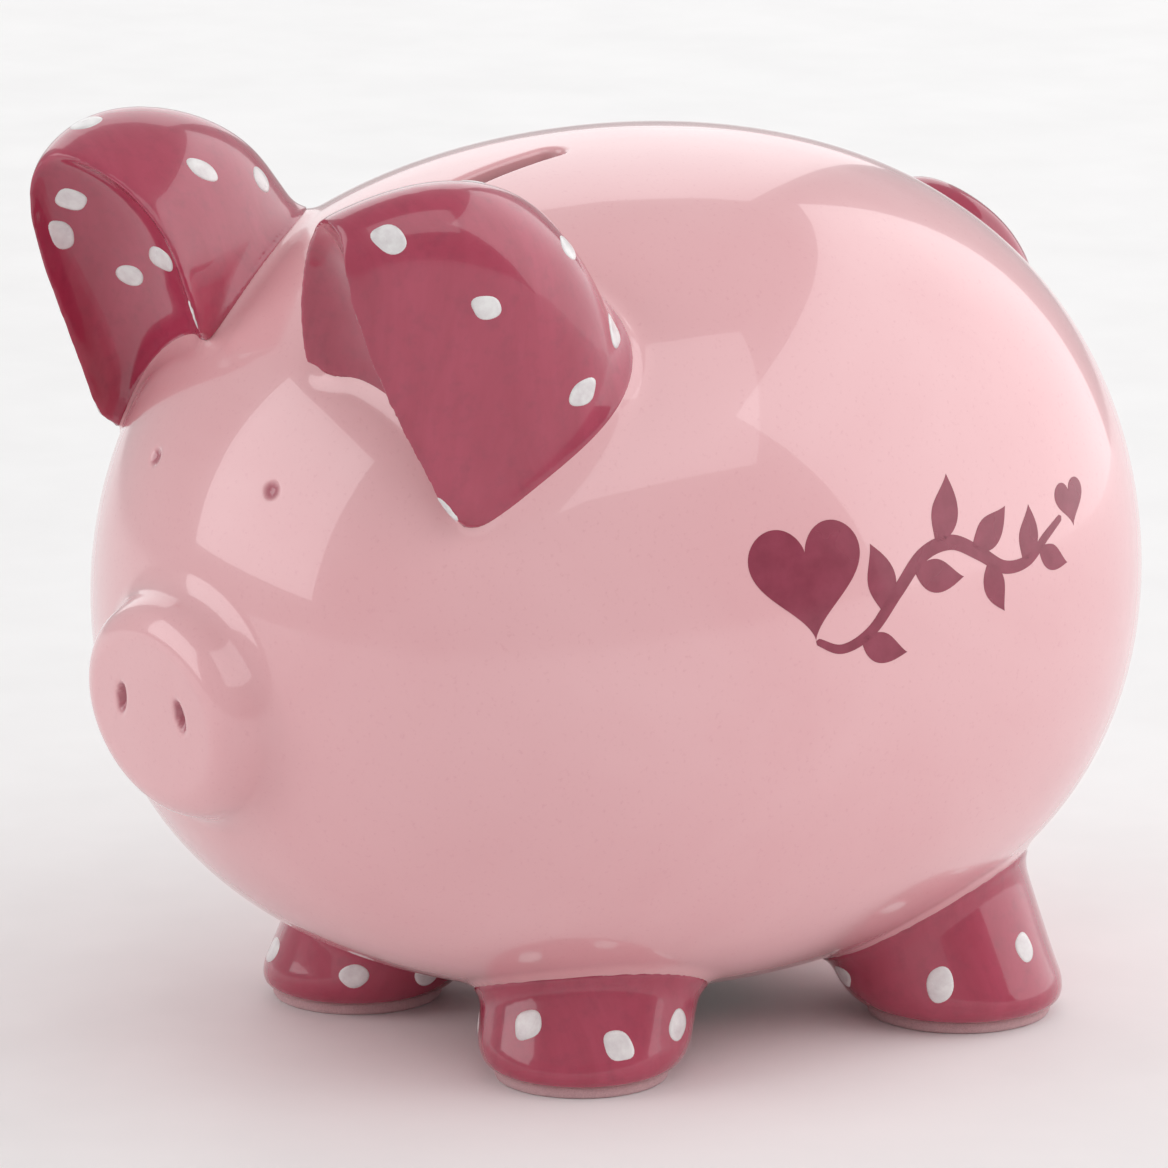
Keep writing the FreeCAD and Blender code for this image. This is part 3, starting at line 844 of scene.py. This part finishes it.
def leaf_grid(root, heading, length, width):
    """A pointed leaf as rows of plane points, on a stalk that meets the stem."""
    shares = np.linspace(0, 1, 26)
    turn = math.radians(heading) + 0.5 * (shares - 0.4)
    steps = np.stack([np.cos(turn), np.sin(turn)], -1) * length / 25
    line = np.array(root) + np.cumsum(steps, axis=0)
    side = np.stack([-np.sin(turn), np.cos(turn)], -1)
    half = width / 2 * np.sin(math.pi * shares ** 0.85) ** 1.15 + 0.42 * (1 - shares)
    return line[:, None] + side[:, None] * (INK_COLUMNS * half[:, None, None])


def heart_grid(middle, size):
    """A filled heart as rows of plane points, each from its left edge over its middle to its right."""
    turn = np.linspace(0.04, math.pi - 0.03, 64)
    x = 16 * np.sin(turn) ** 3
    y = 13 * np.cos(turn) - 5 * np.cos(2 * turn) - 2 * np.cos(3 * turn) - np.cos(4 * turn)
    spine = 5 - 22 * turn / math.pi
    shares = np.linspace(-1, 1, 17)
    across = x[:, None] * shares
    up = spine[:, None] + (y - spine)[:, None] * np.abs(shares)
    return np.stack([across, up], -1) * size + np.array(middle)


# -------- materials


def linear(red, green, blue):
    """A colour given in screen values 0 to 255 as scene values."""
    values = np.array([red, green, blue]) / 255
    scene = np.where(values <= 0.04045, values / 12.92, ((values + 0.055) / 1.055) ** 2.4)
    return (*scene.tolist(), 1.0)


class Nodes:
    """Short calls for building one material's nodes."""

    def __init__(self, name):
        """A new material with an empty tree but its output and shader."""
        self.material = bpy.data.materials.new(name)
        self.material.use_nodes = True
        self.tree = self.material.node_tree
        self.shader = self.tree.nodes["Principled BSDF"]
        self.place = self.add("ShaderNodeTexCoord").outputs["Object"]

    def add(self, kind, **values):
        """A node with its properties or inputs set by name."""
        node = self.tree.nodes.new(kind)
        for key, value in values.items():
            if hasattr(node, key):
                setattr(node, key, value)
            else:
                node.inputs[key.replace("_", " ")].default_value = value
        return node

    def link(self, source, target):
        """Join an output to an input."""
        self.tree.links.new(source, target)

    def noise(self, scale, detail=3.0, roughness=0.5, distortion=0.0, stretch=None):
        """A noise over the piece's own coordinates."""
        node = self.add("ShaderNodeTexNoise", Scale=scale, Detail=detail, Roughness=roughness)
        node.inputs["Distortion"].default_value = distortion
        source = self.place
        if stretch:
            mapping = self.add("ShaderNodeMapping")
            mapping.inputs["Scale"].default_value = stretch
            self.link(source, mapping.inputs["Vector"])
            source = mapping.outputs["Vector"]
        self.link(source, node.inputs["Vector"])
        return node.outputs["Fac"]

    def span(self, source, low, high, start=0.3, end=0.7):
        """A value brought from start..end to low..high."""
        node = self.add("ShaderNodeMapRange")
        for name, value in (("From Min", start), ("From Max", end), ("To Min", low), ("To Max", high)):
            node.inputs[name].default_value = value
        self.link(source, node.inputs["Value"])
        return node.outputs["Result"]

    def blend(self, share, first, second):
        """A mix of two colours, either of them a link or screen values."""
        node = self.add("ShaderNodeMix", data_type="RGBA")
        self.link(share, node.inputs["Factor"])
        for number, colour in ((6, first), (7, second)):
            if isinstance(colour, tuple):
                node.inputs[number].default_value = linear(*colour)
            else:
                self.link(colour, node.inputs[number])
        return node.outputs[2]

    def bump(self, height, strength, distance, under=None):
        """A bump from a height, over another."""
        node = self.add("ShaderNodeBump", Strength=strength, Distance=distance)
        self.link(height, node.inputs["Height"])
        if under is not None:
            self.link(under, node.inputs["Normal"])
        return node.outputs["Normal"]

    def finish(self, **inputs):
        """Set or link the shader's inputs by name."""
        for key, value in inputs.items():
            socket = self.shader.inputs[key.replace("_", " ")]
            if hasattr(value, "is_linked"):
                self.link(value, socket)
            else:
                socket.default_value = value
        return self.material


def glassy(nodes, base, wave, peel, rough, coat_ior):
    """Finish a glaze: scale and strength of its waves and peel, its roughness and its clear coat."""
    waves = nodes.bump(nodes.noise(wave[0], 2, 0.5), wave[1], 0.0004)
    return nodes.finish(
        Base_Color=base,
        Roughness=nodes.span(nodes.noise(rough[0], 3), *rough[1:]),
        Normal=nodes.bump(nodes.noise(peel[0], 2, 0.5), peel[1], 0.0001, waves),
        IOR=1.5,
        Coat_Weight=0.7,
        Coat_Roughness=0.02,
        Coat_IOR=coat_ior,
        Coat_Normal=waves,
    )


def pink_glaze():
    """Pale pink glaze: faint cloudiness, fine specks, a slow waviness and rose paint in the dents."""
    nodes = Nodes("pink_glaze")
    cloud = nodes.span(nodes.noise(16, 4, 0.55, 0.6), 0, 1)
    base = nodes.blend(cloud, (238, 184, 188), (232, 172, 177))
    specks = nodes.span(nodes.noise(1400, 2, 0.6), 0, 0.35, 0.60, 0.74)
    base = nodes.blend(specks, base, (222, 158, 164))
    paint = nodes.add("ShaderNodeAttribute", attribute_name="paint").outputs["Fac"]
    base = nodes.blend(paint, base, (178, 88, 104))
    return glassy(nodes, base, (42, 0.12), (330, 0.025), (60, 0.16, 0.24), 1.7)


def rose_glaze():
    """Deep rose glaze, brushed on: streaks of thicker and thinner colour."""
    nodes = Nodes("rose_glaze")
    streaks = nodes.span(nodes.noise(55, 5, 0.6, 1.2, (1.0, 1.6, 0.45)), 0, 1, 0.32, 0.7)
    base = nodes.blend(streaks, (161, 44, 72), (177, 58, 86))
    mottle = nodes.span(nodes.noise(420, 3, 0.6), 0, 0.3, 0.5, 0.75)
    base = nodes.blend(mottle, base, (128, 40, 66))
    return glassy(nodes, base, (48, 0.2), (420, 0.06), (70, 0.14, 0.24), 1.55)


def mottled(name, mottle, colours, rough, grain=None, start=0.3, end=0.7, **more):
    """A material of two mottled colours with uneven roughness and a fine grain.

    mottle and the first part of rough and grain give a noise's scale, detail and roughness.
    """
    nodes = Nodes(name)
    share = nodes.span(nodes.noise(*mottle), 0, 1, start, end)
    if grain:
        more["Normal"] = nodes.bump(nodes.noise(*grain[0]), *grain[1:])
    roughness = nodes.span(nodes.noise(*rough[0]), *rough[1:])
    return nodes.finish(Base_Color=nodes.blend(share, *colours), Roughness=roughness, **more)


def rose_print():
    """The flourish's fired ink: flatter than the glaze round it, a little uneven."""
    return mottled(
        "rose_print", (260, 4, 0.6), ((134, 40, 64), (150, 54, 78)), ((90, 3), 0.2, 0.32),
        ((500, 2), 0.08, 0.0001), Coat_Weight=0.3, Coat_Roughness=0.08,
    )


def white_enamel():
    """The dots' white enamel: warm white with a greyer, thinner patchiness."""
    return mottled(
        "white_enamel", (380, 4, 0.6), ((238, 236, 235), (214, 206, 208)), ((120, 3), 0.2, 0.34),
        ((900, 2), 0.12, 0.0001), 0.35, 0.72, Coat_Weight=0.4, Coat_Roughness=0.05,
    )


def bisque():
    """The unglazed inside of the hollow body: pale, dull, grainy clay."""
    return mottled(
        "bisque", (90, 5, 0.6), ((226, 206, 198), (206, 180, 172)), ((200, 3), 0.75, 0.9),
        ((900, 4, 0.7), 0.35, 0.0002),
    )


def felt():
    """Pressed pale pink felt."""
    nodes = Nodes("pad_felt")
    fibre = nodes.noise(2400, 5, 0.75, 2.0)
    base = nodes.blend(nodes.span(fibre, 0, 1, 0.35, 0.65), (232, 190, 192), (206, 158, 164))
    fuzz = nodes.bump(fibre, 0.7, 0.0004)
    return nodes.finish(
        Base_Color=base,
        Roughness=nodes.span(nodes.noise(700, 3), 0.85, 0.98),
        Normal=fuzz,
        Sheen_Weight=0.3,
        Sheen_Roughness=0.5,
    )


def rubber():
    """Soft grey-white rubber with mould bloom."""
    return mottled(
        "stopper_rubber", (120, 4, 0.6), ((214, 208, 204), (192, 186, 184)), ((260, 3), 0.5, 0.68),
        ((1500, 3, 0.6), 0.18, 0.0001),
    )


def floor_paper():
    """A pale paper floor."""
    return mottled("studio_paper", (30, 3), ((246, 245, 245), (242, 241, 241)), ((60, 2), 0.7, 0.8))


MATERIALS = {
    "pink": pink_glaze(),
    "rose": rose_glaze(),
    "print": rose_print(),
    "white": white_enamel(),
    "bisque": bisque(),
    "felt": felt(),
    "rubber": rubber(),
    "floor": floor_paper(),
}

# -------- build the limbs first
EAR_FILLET = 4.5
FOOT_FILLET = 4.0
TAIL_FILLET = 2.6
UNDERCUT = 0.22
trees = []
dot_jobs = []


def seat_limb(points, quads, reach):
    """A limb's points swelled to meet the body, and its search tree kept for the body's own fillet."""
    trees.append((surface_tree(points, quads), reach, points))
    return seated(points, mesh_normals(points, quads), reach)


def rose_piece(node, points, faces):
    """The glazed piece that takes the place of a limb's CAD node."""
    make_piece(node + "_glazed", points, faces, [MATERIALS["rose"]], "bank", [node])


ear_points, ear_faces = ear_lobe()
ear_points, ear_quads = even_mesh(ear_points, ear_faces, EAR_SWELL, EAR_VOXEL)
ear_points = relaxed(ear_points, ear_quads, round((2 * EAR_SOFTNESS / EAR_VOXEL) ** 2))
ear_points = ear_points - (0, 0, EAR_DROP)
for side, sign in (("left", 1), ("right", -1)):
    name = side + "_ear"
    points = ear_points * (sign, 1, 1)
    quads = ear_quads if sign > 0 else ear_quads[:, ::-1]
    points = seat_limb(points, quads, EAR_FILLET)
    dot_jobs.append((name, points, quads))
    points, faces = without_hidden(points, quads, HIDDEN_DEPTH)
    rose_piece(name, points, faces)

for corner, (sign, scale, sole, leg) in FEET.items():
    name = corner + "_foot"
    rings = foot_points(sign, scale, sole, leg)
    quads = tube_faces(*rings.shape[:2])
    flat = seat_limb(rings.reshape(-1, 3), quads, FOOT_FILLET)
    dot_jobs.append((name, flat, quads))
    points, faces = closed_tube(flat.reshape(rings.shape))
    rose_piece(name, points, faces)

tail = seat_tail(tail_rings())
flat = seat_limb(tail.reshape(-1, 3), tube_faces(*tail.shape[:2]), TAIL_FILLET)
points, faces = closed_tube(flat.reshape(tail.shape))
rose_piece("tail", points, faces)

# -------- body shell
inner, slot_wall, outer, recess = body_rings()
flat = outer.reshape(-1, 3)
normals = skin_normals(flat)
for tree, reach, cloud in trees:
    low, high = cloud.min(0) - reach, cloud.max(0) + reach
    near = np.nonzero(((flat > low) & (flat < high)).all(1))[0]
    lift = np.zeros(len(near))
    for _ in range(5):
        for number, index in enumerate(near):
            place = Vector(flat[index] + normals[index] * lift[number])
            hit, out, _, distance = tree.find_nearest(place, reach * 2 + 12)
            if hit is None:
                lift[number] = 0
                continue
            signed = distance if (place - hit).dot(out) > 0 else -distance
            share = min(max(1 - (signed - lift[number]) / reach, 0), 1)
            lift[number] = share ** 2 * reach / 4 - UNDERCUT * share
    flat[near] += normals[near] * lift[:, None]
outer = flat.reshape(outer.shape)
shell = np.concatenate([inner, slot_wall, outer, recess])
shell_points = shell.reshape(-1, 3)
ring_count, column_count = shell.shape[:2]
faces = (tube_faces(ring_count + 1, column_count) % len(shell_points))[:, ::-1]
face_slots = np.zeros(len(faces), np.int32)
face_slots[:(len(inner) - 1) * column_count] = 1
glazes = [MATERIALS["pink"], MATERIALS["bisque"]]
body_piece = make_piece(
    "body_glazed", shell_points, faces, glazes, "bank", ["body_shell"]
)
body_piece.data.polygons.foreach_set("material_index", face_slots)
paint = 1 - ease(dents(shell_points) / 0.45)
attribute = body_piece.data.attributes.new("paint", "FLOAT", "POINT")
attribute.data.foreach_set("value", paint.astype(np.float32))

# -------- dots and flourish
for name, points, quads in dot_jobs:
    random = np.random.default_rng(SEED + len(name) + int(points[0, 0] > 0))
    tree = surface_tree(points, quads)
    normals = mesh_normals(points, quads)
    drops = []
    for place in dot_places(points, normals, DOTS[name], random):
        middle, normal, _, _ = tree.find_nearest(Vector(place))
        drops.append(dot_mesh(tree, middle, normal, random))
    points, faces = join_meshes(drops)
    make_piece(name + "_dots", points, faces, [MATERIALS["white"]], "bank")

ink = [ink_mesh(stroke_grid(STEM, STEM_WIDTH))]
ink += [ink_mesh(leaf_grid(*leaf)) for leaf in LEAVES]
ink += [ink_mesh(heart_grid(middle, size)) for middle, size in HEARTS]
points, faces = join_meshes(ink)
flourish = make_piece("flank_flourish", points, faces, [MATERIALS["print"]], "bank")
flourish.data.set_sharp_from_angle(angle=math.radians(40))

# -------- felt pads
PAD_PROFILE = (
    (4, 0), (10, 0), (13.1, 0), (13.4, 0.15), (13.55, 0.45), (13.55, 1.0), (13.5, 1.6), (13.3, 1.95),
    (12.9, SOLE_HEIGHT), (6, SOLE_HEIGHT),
)
PAD_SHRINK = 0.1
PAD_RAGGED_FROM = 12.5
PAD_SIDES = 120
for corner, (sign, scale, sole, leg) in FEET.items():
    random = np.random.default_rng(SEED + int(abs(sole[1])) + int(sign > 0))
    angles = np.linspace(0, 2 * math.pi, PAD_SIDES, endpoint=False)
    ragged = sum(
        random.uniform(0.01, 0.035) * np.sin(k * angles + random.uniform(0, 6)) for k in (9, 17, 31, 43)
    )
    rings = []
    for radius, height in PAD_PROFILE:
        reach = scale * (radius - PAD_SHRINK + (ragged if radius > PAD_RAGGED_FROM else 0))
        x = sign * sole[0] + reach * np.cos(angles)
        y = sole[1] + reach * np.sin(angles)
        rings.append(np.stack([x, y, np.full(PAD_SIDES, height)], -1))
    points, faces = closed_tube(np.array(rings))
    name = corner + "_pad"
    make_piece(name + "_felt", points, faces, [MATERIALS["felt"]], "bank", [name])

# -------- rubber stopper
STOPPER_PROFILE = (
    (2.0, 6.0), (8.0, 6.0), (18.0, 6.0), (19.0, 6.1), (19.4, 6.45), (19.5, 6.9), (19.5, 7.9),
    (19.3, 8.3), (18.9, 8.38), (17.0, 8.38), (16.2, 8.4), (15.95, 8.7), (15.95, 12.0), (15.6, 13.6),
    (15.05, 16.7), (14.8, 17.2), (14.3, 17.4), (12.0, 17.4), (11.3, 17.2), (11.0, 16.7),
    (11.0, 10.2), (10.6, 9.6), (10.0, 9.4), (3.0, 9.4),
)
STOPPER_SIDES = 128
GRIP_HALF = (8.0, 1.5)
GRIP_PROFILE = ((0.9, 2.6), (0.35, 2.68), (0.08, 2.95), (0.0, 3.4), (0.0, 5.2), (0.1, 6.3))
GRIP_FULLNESS = 2 / 4.5


def stopper_mesh():
    """A turned bung with a rounded grip rib under its flange."""
    bung = closed_tube(turned(STOPPER_PROFILE, STOPPER_SIDES))
    angles = np.linspace(0, 2 * math.pi, STOPPER_SIDES, endpoint=False)
    rib_rings = []
    for inset, height in GRIP_PROFILE:
        half_x, half_y = GRIP_HALF[0] - inset, GRIP_HALF[1] - inset
        x = half_x * np.copysign(np.abs(np.cos(angles)) ** GRIP_FULLNESS, np.cos(angles))
        y = half_y * np.copysign(np.abs(np.sin(angles)) ** GRIP_FULLNESS, np.sin(angles))
        rib_rings.append(np.stack([x, y, np.full(len(angles), height)], -1))
    rib = closed_tube(np.array(rib_rings))
    points, faces = join_meshes([bung, rib])
    return points + (THROAT_MIDDLE[0], THROAT_MIDDLE[1], 0), faces


points, faces = stopper_mesh()
make_piece(
    "stopper_moulded", points, faces, [MATERIALS["rubber"]], "stopper", ["stopper"]
)

# -------- studio, in metres
FLOOR_FLAT, FLOOR_BEND, FLOOR_SIDES = 4.0, 2.0, 96


def studio_floor():
    """A wide pale floor that curves up far off, all the way round."""
    bend = np.linspace(0.1, 1.5, 10)
    radii = np.concatenate([np.linspace(0.05, FLOOR_FLAT, 12), FLOOR_FLAT + FLOOR_BEND * np.sin(bend)])
    heights = np.concatenate([np.zeros(12), FLOOR_BEND * (1 - np.cos(bend))])
    rings = turned(zip(radii, heights), FLOOR_SIDES)
    points = np.concatenate([rings.reshape(-1, 3), [[0, 0, 0]]])
    faces = [tuple(quad[::-1]) for quad in tube_faces(len(rings), FLOOR_SIDES).tolist()]
    faces += fan_faces(FLOOR_SIDES, 0, len(points) - 1)
    smooth_object("studio_floor", points, faces, [MATERIALS["floor"]])


AIM = Vector((0, 0.0076, 0.0693))


def aim(thing, azimuth, elevation, distance):
    """Link a light or camera and turn it to the bank's middle from a side and a height in degrees."""
    a, e = math.radians(azimuth), math.radians(elevation)
    back = Vector((math.sin(a) * math.cos(e), -math.cos(a) * math.cos(e), math.sin(e)))
    thing.location = AIM + back * distance
    thing.rotation_mode = "QUATERNION"
    thing.rotation_quaternion = (-back).to_track_quat("-Z", "Y")
    bpy.context.scene.collection.objects.link(thing)


def soft_box(name, azimuth, elevation, distance, size, power):
    """A rectangular soft light that the camera doesn't see."""
    light = bpy.data.lights.new(name, "AREA")
    light.shape = "RECTANGLE"
    light.size, light.size_y = size
    light.energy = power
    holder = bpy.data.objects.new(name, light)
    holder.visible_camera = False
    aim(holder, azimuth, elevation, distance)


studio_floor()
soft_box("rear_box", 158, 24, 1.4, (2.3, 1.7), 14.5)
soft_box("far_box", 243, 28, 1.5, (1.2, 1.2), 3.6)
soft_box("front_box", -28, 24, 1.6, (1.2, 1.1), 6)
soft_box("high_box", 78, 52, 1.7, (1.6, 1.2), 5.5)

world = bpy.data.worlds.new("studio")
world.use_nodes = True
sky = world.node_tree.nodes["Background"].inputs
sky["Color"].default_value = (1, 1, 1, 1)
sky["Strength"].default_value = 0.53
bpy.context.scene.world = world
bpy.context.scene.view_settings.view_transform = "Standard"

# -------- camera
camera = bpy.data.objects.new("camera", bpy.data.cameras.new("camera"))
camera.data.lens = 253.8
camera.data.sensor_width = 36
camera.data.shift_x = -0.0453
camera.data.shift_y = -0.0098
camera.data.clip_end = 50
aim(camera, 51.51, 13.35, 1.3)
bpy.context.scene.camera = camera
